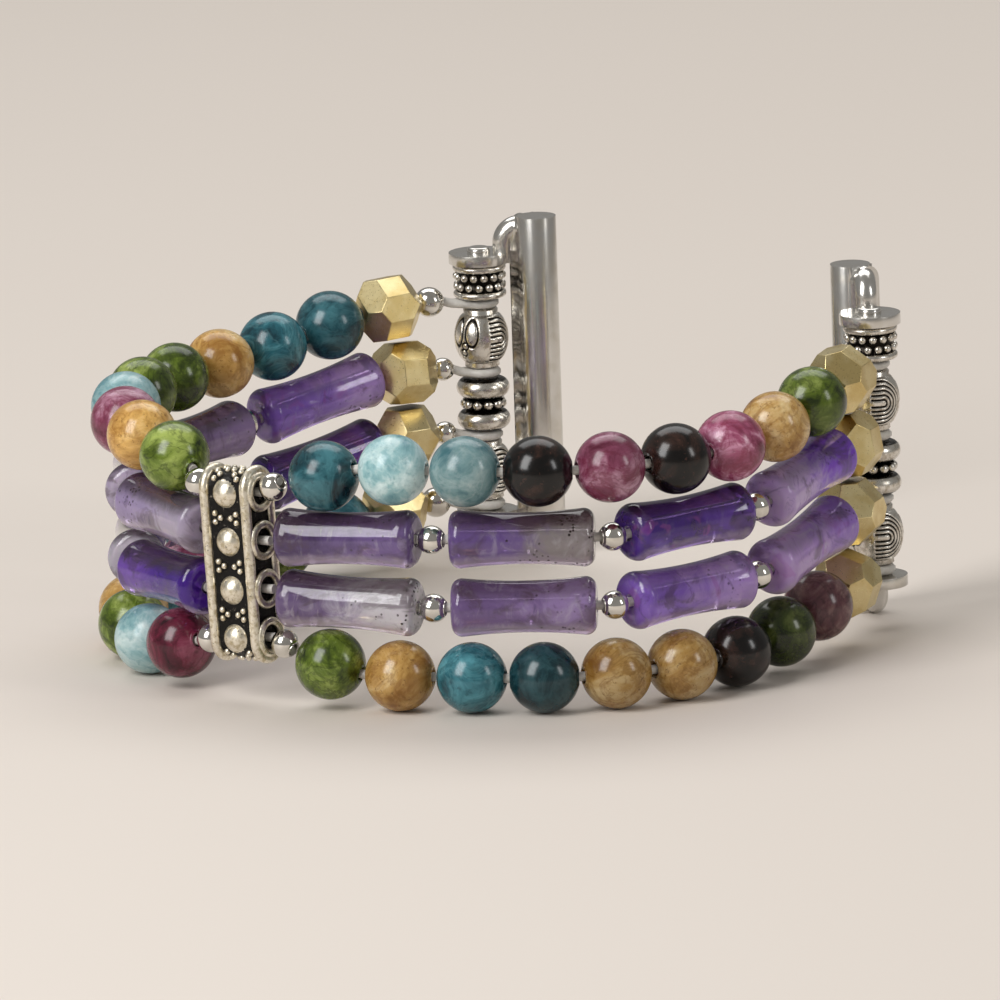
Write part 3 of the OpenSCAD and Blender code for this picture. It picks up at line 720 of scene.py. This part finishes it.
def tube_outline(half, radius):
    """Bamboo outline: a waist between two flared ends with rounded rims."""
    inner = BEAD_BORE / 2
    edge = BORE_ROUNDING
    waist = radius * TUBE_WAIST
    reach = half - TUBE_RIM
    sides = [
        (waist + (radius - waist) * abs(y / reach) ** 2, y)
        for y in np.linspace(-reach, reach, TUBE_OUTLINE_STEPS)[1:-1]
    ]
    return (
        arc((inner + edge, -half + edge), edge, -180, -90, RIM_STEPS)
        + arc((radius - TUBE_RIM, -reach), TUBE_RIM, -90, 0, TUBE_RIM_STEPS)
        + sides
        + arc((radius - TUBE_RIM, reach), TUBE_RIM, 0, 90, TUBE_RIM_STEPS)
        + arc((inner + edge, half - edge), edge, 90, 180, RIM_STEPS)
    )


def make_tubes(node, pairs):
    shape = Shape()
    materials = [material for pair in pairs for material in pair]
    for kind, bead in enumerate(beads(node, longest=True)):
        points, faces = lathe(tube_outline(bead.half_length, bead.radius), BEAD_STEPS)
        shape.add(bead.put(points), faces, kind, points[:, 2] / bead.half_length)
    stand_in(shape.object(node + "_look", materials), node)


def make_balls(node):
    shape = Shape()
    for bead in beads(node):
        outline = ball_outline(bead.radius, BALL_BORE, BALL_OUTLINE_STEPS, BALL_ROUNDING)
        points, faces = lathe(outline, BALL_STEPS)
        shape.add(bead.put(points), faces)
    stand_in(shape.object(node + "_look", [BRIGHT]), node)


def make_from_solid(node, material, bevel, sharp):
    """A node whose own faces are right: its edges are rounded and its flat faces joined."""
    look = welded_copy(node, bevel, sharp)
    look.data.materials.append(material)
    return stand_in(look, node)


# Beads on the rods


class OnRod:
    """Place and size of a turned bead on an upright rod."""

    def __init__(self, node):
        low, high = (np.array(corner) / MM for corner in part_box(node))
        self.centre = (low + high) / 2
        self.half = (high[2] - low[2]) / 2
        self.radius = (high[0] - low[0]) / 2
        self.facing = math.atan2(self.centre[1], self.centre[0])

    def put(self, points, turn=0.0):
        a = self.facing + turn
        spin = np.array([[math.cos(a), math.sin(a), 0], [-math.sin(a), math.cos(a), 0], [0, 0, 1]])
        return points @ spin + self.centre


ROD_BORE = 1.66
ROD_D = 1.5
ROD_MIDDLE = 0.02
ROD_HEAD = 0.45
HEAD_ROUNDING = 0.3
HEAD_STEPS = 6
HEAD_CORNER = 50.0

# Barrel: radius and length of its necks as shares of its own, and their chamfer
NECK_SHARE = 0.64
NECK_RIM_SHARE = 0.16
NECK_CHAMFER = 0.1
# Least radius of its swelling side as a share of the neck's
SIDE_LEAST = 0.98
BARREL_STEPS = 220
BARREL_OUTLINE_STEPS = 80
# Degrees from the outward direction to its first panel
BARREL_TURN = {"right": 290, "left": 230}

# Carving of the barrels: sizes in millimetres on the unrolled surface
BORE_WALL = 0.2
GROOVE_DEPTH = 0.15
GROOVE_WIDTH = 0.085
ARCH_GROOVES = (0.3, 0.68, 1.06, 1.44, 1.82)
ARCH_START = -1.15
DOT_COLUMN = 2.15
DOT_STEP = 0.62
DOT_RING = 0.26
# Leaf: distance to the side, height of its middle, half its width and half its height
LEAF = (0.78, 0.62, 0.62, 1.15)
LEAF_SCALE = 0.6
CIRCLES = ((0.1, -0.5), (-0.15, -1.1))
CIRCLE_RING = 0.32


def line_at(distance):
    """Depth from 1 to 0 of a groove, at a distance from its middle."""
    return np.exp(-((distance / GROOVE_WIDTH) ** 2))


def max_of(depths):
    return np.maximum.reduce(depths)


def arch_panel(u, z):
    """Nested arches lying on their side, with a column of dots before their tips."""
    bend = np.where(u > 0, np.hypot(u, z), np.abs(z))
    depth = max_of([line_at(bend - radius) for radius in ARCH_GROOVES]) * (u > ARCH_START)
    dots = [line_at(np.hypot(u - DOT_COLUMN, z - DOT_STEP * i) - DOT_RING) for i in (-1, 0, 1)]
    return max_of([depth, *dots])


def leaf_panel(u, z):
    """Two upright leaves above a chain of two circles."""
    across, height, half_width, half_height = LEAF
    leaves = []
    for side in (-1, 1):
        level = np.hypot((u - side * across) / half_width, (z - height) / half_height)
        leaves.append(line_at((level - 1) * LEAF_SCALE))
    rings = [line_at(np.hypot(u - x, z - y) - CIRCLE_RING) for x, y in CIRCLES]
    return max_of([*leaves, *rings])


def grooves(angle, radius, z):
    """Depth of the carving of a barrel: panels of arches and of leaves by turns."""
    quarter = math.pi / 2
    u = ((angle + quarter / 2) % quarter - quarter / 2) * radius + 0 * z
    number = np.floor((angle + quarter / 2) / quarter) + 0 * z
    return np.where(number % 2 == 0, arch_panel(u, z), leaf_panel(u, z))


def barrel_outline(half, radius):
    """Barrel with short plain necks at its ends."""
    neck = radius * NECK_SHARE
    rim = half * NECK_RIM_SHARE
    inner = ROD_BORE / 2
    side = []
    for t in np.linspace(0, 1, BARREL_OUTLINE_STEPS):
        swell = neck - rim / 2 + (radius - neck + rim / 2) * math.sin(math.pi * t) ** 0.5
        side.append((max(swell, neck * SIDE_LEAST), (2 * t - 1) * (half - rim)))
    return (
        [(inner, -half), (neck - NECK_CHAMFER, -half), (neck, -half + NECK_CHAMFER)]
        + side
        + [(neck, half - NECK_CHAMFER), (neck - NECK_CHAMFER, half), (inner, half)]
    )


def make_barrel(node):
    """Barrel carved with panels of arches and leaves."""
    place = OnRod(node)
    turn = math.radians(BARREL_TURN[node.split("_")[0]])
    points, faces = lathe(barrel_outline(place.half, place.radius), BARREL_STEPS)
    radius = np.hypot(points[:, 0], points[:, 1])
    outside = radius > ROD_BORE / 2 + BORE_WALL
    depth = grooves(np.arctan2(points[:, 1], points[:, 0]), place.radius, points[:, 2]) * outside
    points[:, :2] *= (1 - GROOVE_DEPTH * depth / radius)[:, None]
    shape = Shape()
    shape.add(place.put(points, turn), faces, mark=depth)
    stand_in(shape.object(node + "_look", [CARVED]), node)


ROD_BEAD_STEPS = 64
RING_GRAIN_STEPS = 14
FLANGE_STEPS = 12
# Share of a bead's radius below which its waist is dark
FLANGE_SHADE = 0.88


def flange(radius, low, high):
    """Outline points of a rounded flange between two heights."""
    deep = (high - low) / 2
    return arc((radius - deep, (low + high) / 2), deep, -90, 90, FLANGE_STEPS)


def deep_in(points, radius):
    """1 on the waist of a turned bead and 0 on its flanges."""
    level = np.hypot(points[:, 0], points[:, 1]) / radius
    return (level < FLANGE_SHADE) * 1.0


def waisted_bead(place, waist, edge):
    """Turned bead with a flange at each end of a waist that reaches up and down to its edge."""
    inner = ROD_BORE / 2
    outline = (
        [(inner, -place.half)]
        + flange(place.radius, -place.half, -edge)
        + [(waist, -edge), (waist, edge)]
        + flange(place.radius, edge, place.half)
        + [(inner, place.half)]
    )
    shape = Shape()
    points, faces = lathe(outline, ROD_BEAD_STEPS)
    shape.add(place.put(points), faces, mark=deep_in(points, place.radius))
    return shape


def add_ring(shape, place, grain, count, radius, height=0.0, shift=0.0):
    """A ring of grains round a waisted bead, shifted by a share of their spacing."""
    points, faces = sphere(grain, RING_GRAIN_STEPS)
    for i in range(count):
        a = 2 * math.pi * (i + shift) / count
        spot = np.array([radius * math.cos(a), radius * math.sin(a), height])
        shape.add(place.put(points + spot), faces)


# Spool and drum: where the waist meets a flange and how thick it is, as shares of the bead's size
SPOOL_EDGE = 0.24
SPOOL_NECK = 0.6
SPOOL_GRAIN = 0.42
SPOOL_GRAINS = 11
SPOOL_GRAIN_SEAT = 0.55


def make_spool(node):
    """Two round flanges with a ring of small grains between them."""
    place = OnRod(node)
    neck = place.radius * SPOOL_NECK
    shape = waisted_bead(place, neck, place.half * SPOOL_EDGE)
    ring = neck + SPOOL_GRAIN * SPOOL_GRAIN_SEAT
    add_ring(shape, place, SPOOL_GRAIN, SPOOL_GRAINS, ring)
    stand_in(shape.object(node + "_look", [CARVED]), node)


DRUM_EDGE = 0.59
DRUM_BODY = 0.86
DRUM_GRAIN = 0.34
DRUM_GRAINS = 14
DRUM_ROWS = (-0.42, 0.42)


def make_drum(node):
    """Drum with a flange at each end and two rows of round grains."""
    place = OnRod(node)
    body = place.radius * DRUM_BODY
    shape = waisted_bead(place, body, place.half * DRUM_EDGE)
    for row, height in enumerate(DRUM_ROWS):
        add_ring(shape, place, DRUM_GRAIN, DRUM_GRAINS, body, height, row / 2)
    stand_in(shape.object(node + "_look", [CARVED]), node)


def make_rod(node):
    """Rod with a rounded head at each end."""
    place = OnRod(node)
    shank = ROD_D / 2
    under = place.half - ROD_HEAD
    side = place.radius - HEAD_ROUNDING
    top = place.half - HEAD_ROUNDING
    outline = (
        [(ROD_MIDDLE, -place.half)]
        + arc((side, -top), HEAD_ROUNDING, -90, 0, HEAD_STEPS)
        + [(place.radius, -under), (shank, -under), (shank, under), (place.radius, under)]
        + arc((side, top), HEAD_ROUNDING, 0, 90, HEAD_STEPS)
        + [(ROD_MIDDLE, place.half)]
    )
    points, faces = lathe(outline, BALL_STEPS)
    shape = Shape()
    shape.add(place.put(points), faces)
    made = shape.object(node + "_look", [PLATE])
    made.data.set_sharp_from_angle(angle=math.radians(HEAD_CORNER))
    stand_in(made, node)


# Spacer bar

# Places on the bar in millimetres from its middle: X along the strands, Y outwards, Z up
# Where the cord stubs end
CORD_END = 4.8
HOLE_PITCH = 4.1
HOLE_HEIGHTS = [i * HOLE_PITCH for i in (-1.5, -0.5, 0.5, 1.5)]
# Distance outwards above which a dome stands out of the core
CORE_LEVEL = 1.57
# Rail: distance to the side, distance outwards, half its straight length, and reach of its wire
RAIL = (2.15, 1.55, 6.4, 0.47)
# Dome: distance outwards and radius
DOME = (0.956, 1.37)
# Collar: radius of its ring, reach of its wire, and distance to the side
COLLAR = (1.35, 0.37, 2.475)

# Grains: radius, level, places between two domes as (X, Z), and round an end as (degrees, X)
GRAIN = 0.27
GRAIN_STEPS = 12
GRAIN_LEVEL = 1.62
GRAIN_GROUP = ((0.55, 0.0), (1.12, 0.36), (1.12, -0.36))
END_GRAINS = ((36, 1.2), (52, 0.78), (66, 1.25), (74, 0.35), (88, 0.9), (90, 0.0))


def bar_frame(node):
    """Middle of the bar, and its directions: along the strands, out of the loop, and up."""
    (corners,) = solids(node)
    centre, axes = centre_and_axes(corners)
    upright = axes[2] * np.sign(axes[2][2])
    outward = axes[0] * np.sign(axes[0] @ centre)
    return centre, np.array([np.cross(outward, upright), outward, upright])


def make_mouth_cords(node):
    """Cord stubs, shortened to end inside the balls at the bar's mouths."""
    look = make_from_solid(node, ELASTIC, CORD_ROUNDING, CORD_CORNER)
    centre, basis = bar_frame("spacer_bar")
    for point in look.data.vertices:
        spot = basis @ (np.array(point.co) / MM - centre)
        spot[0] = min(max(spot[0], -CORD_END), CORD_END)
        point.co = (spot @ basis + centre) * MM


def raised_faces(spots):
    """Which face middles of the bar lie on its rails, domes or collars."""
    x, y, z = np.abs(spots).T
    side, reach, straight, thick = RAIL
    out = np.where(z > straight, np.hypot(y, z - straight), y)
    raised = np.hypot(x - side, out - reach) < thick
    dome, dome_radius = DOME
    ring, ring_thick, ring_side = COLLAR
    for height in HOLE_HEIGHTS:
        level = spots[:, 2] - height
        raised |= (np.sqrt(x**2 + (y - dome) ** 2 + level**2) < dome_radius) & (y > CORE_LEVEL)
        raised |= np.hypot(np.hypot(y, level) - ring, x - ring_side) < ring_thick
    return raised


def bar_grains(centre, basis):
    """Small grains between the domes and round both ends of the bar."""
    shape = Shape()
    grain, faces = sphere(GRAIN, GRAIN_STEPS)
    _, _, end_centre, _ = RAIL

    def put_grain(x, y, z):
        for side in (1, -1) if x else (1,):
            shape.add(grain + centre + np.array([side * x, y, z]) @ basis, faces)

    for face in (1, -1):
        for gap in (-1, 0, 1):
            for x, z in GRAIN_GROUP:
                put_grain(x, face * GRAIN_LEVEL, gap * HOLE_PITCH + z)
        for end in (1, -1):
            for degrees, x in END_GRAINS:
                a = math.radians(degrees)
                height = end_centre + GRAIN_LEVEL * math.sin(a)
                put_grain(x, face * GRAIN_LEVEL * math.cos(a), end * height)
    return shape.object("spacer_bar_grains", [RUBBED])


def make_bar():
    """Cast bar: raised parts rubbed bright on a black ground."""
    node = "spacer_bar"
    centre, basis = bar_frame(node)
    look = welded_copy(node, BAR_ROUNDING, BAR_CORNER)
    for material in (OXIDE, RUBBED):
        look.data.materials.append(material)
    spots = np.empty(len(look.data.polygons) * 3)
    look.data.polygons.foreach_get("center", spots)
    raised = raised_faces((spots.reshape(-1, 3) / MM - centre) @ basis.T)
    look.data.polygons.foreach_set("material_index", raised.astype(np.int32))
    stand_in(look, node)
    ride_with(bar_grains(centre, basis), node)


# Everything in place

# Nodes of these kinds, by the last word of their names, have a maker of their own
MAKERS = {
    "balls": make_balls,
    "rod": make_rod,
    "drum": make_drum,
    "spool": make_spool,
    "upper": make_barrel,
    "lower": make_barrel,
}
# Nodes of these kinds are made from their solids, with a material, a rounding and a corner angle
FROM_SOLID = {
    "gold": (GOLD, FACET_ROUNDING, FACET_CORNER),
    "cords": (ELASTIC, CORD_ROUNDING, CORD_CORNER),
    "adapter": (PLATE, PLATE_ROUNDING, PLATE_CORNER),
}


def dress():
    for node in frame["nodes"]:
        kind = node.split("_")[-1]
        if node in TUBES:
            make_tubes(node, TUBES[node])
        elif kind in STONES:
            make_stones(node, STONES.get(node, STONES[kind]))
        elif node.endswith("mouth_cords"):
            make_mouth_cords(node)
        elif kind in FROM_SOLID:
            make_from_solid(node, *FROM_SOLID[kind])
        elif kind in MAKERS:
            MAKERS[kind](node)
    make_bar()


# Floor, light and camera

FLOOR_COLOUR = "d9cfc5"
FLOOR_PATCHES = "dfd6cd"
FLOOR_SIZE = 6.0
SKY_COLOUR = "f2efea"
SKY_STRENGTH = 0.3

# Lamps: azimuth from the camera's, elevation, distance in metres, size in metres, and share of
# plain daylight
LAMPS = {
    "window": (-46, 36, 0.6, (0.26, 0.44), 0.8),
    "fill": (58, 24, 0.7, (0.12, 0.28), 0.14),
    "overhead": (180, 58, 0.6, (0.7, 0.35), 0.5),
}


def floor_material():
    look = Look("floor_look", Roughness=0.7)
    look.set("Base Color", look.mix(look.noise(0.004, 2), FLOOR_COLOUR, FLOOR_PATCHES))
    return look.material


def make_floor():
    bpy.ops.mesh.primitive_plane_add(size=FLOOR_SIZE)
    floor = bpy.context.object
    floor.name = "floor"
    floor.data.materials.append(floor_material())


def make_world():
    """A pale sky that lights the band, and the floor's colour where the camera sees past it."""
    world = bpy.data.worlds.new("studio")
    bpy.context.scene.world = world
    world.use_nodes = True
    tree = world.node_tree
    background = tree.nodes["Background"]
    background.inputs["Color"].default_value = linear(SKY_COLOUR)
    background.inputs["Strength"].default_value = SKY_STRENGTH
    seen = tree.nodes.new("ShaderNodeBackground")
    seen.inputs["Color"].default_value = linear(FLOOR_COLOUR)
    path = tree.nodes.new("ShaderNodeLightPath")
    swap = tree.nodes.new("ShaderNodeMixShader")
    tree.links.new(path.outputs["Is Camera Ray"], swap.inputs[0])
    tree.links.new(background.outputs[0], swap.inputs[1])
    tree.links.new(seen.outputs[0], swap.inputs[2])
    tree.links.new(swap.outputs[0], tree.nodes["World Output"].inputs["Surface"])


def toward(azimuth, elevation):
    """Direction from the band to a lamp or camera that stands at this azimuth and elevation."""
    a, e = math.radians(azimuth), math.radians(elevation)
    return Vector((math.sin(a) * math.cos(e), -math.cos(a) * math.cos(e), math.sin(e)))


def softbox(name, azimuth, elevation, distance, size, share):
    """Lamp that gives this share of plain daylight at the band, from a panel of this size."""
    lamp = bpy.data.lights.new(name, "AREA")
    lamp.shape = "RECTANGLE"
    lamp.size, lamp.size_y = size
    lamp.energy = share * math.pi**2 * distance**2
    holder = bpy.data.objects.new(name, lamp)
    back = toward(azimuth, elevation)
    holder.location = Vector((0, 0, AIM_HEIGHT)) + back * distance
    holder.rotation_mode = "QUATERNION"
    holder.rotation_quaternion = back.to_track_quat("Z", "Y")
    bpy.context.scene.collection.objects.link(holder)


def make_camera():
    azimuth, elevation, roll = map(math.radians, (CAMERA_AZIMUTH, CAMERA_ELEVATION, CAMERA_ROLL))
    back = toward(CAMERA_AZIMUTH, CAMERA_ELEVATION)
    level = Vector((math.cos(azimuth), math.sin(azimuth), 0))
    rise = back.cross(level)
    right = level * math.cos(roll) + rise * math.sin(roll)
    up = rise * math.cos(roll) - level * math.sin(roll)
    aim = Vector((0, 0, AIM_HEIGHT)) + right * AIM_RIGHT + up * AIM_UP
    camera = bpy.data.cameras.new("camera")
    camera.lens = CAMERA_LENS
    camera.clip_start, camera.clip_end = 0.05, 20
    holder = bpy.data.objects.new("camera", camera)
    holder.matrix_world = Matrix.Translation(aim + back * CAMERA_DISTANCE) @ Matrix(
        (right, up, back)
    ).transposed().to_4x4()
    bpy.context.scene.collection.objects.link(holder)
    bpy.context.scene.camera = holder


dress()
make_floor()
make_world()
for lamp, (azimuth, *rest) in LAMPS.items():
    softbox(lamp, CAMERA_AZIMUTH + azimuth, *rest)
make_camera()
bpy.context.scene.view_settings.view_transform = "Standard"
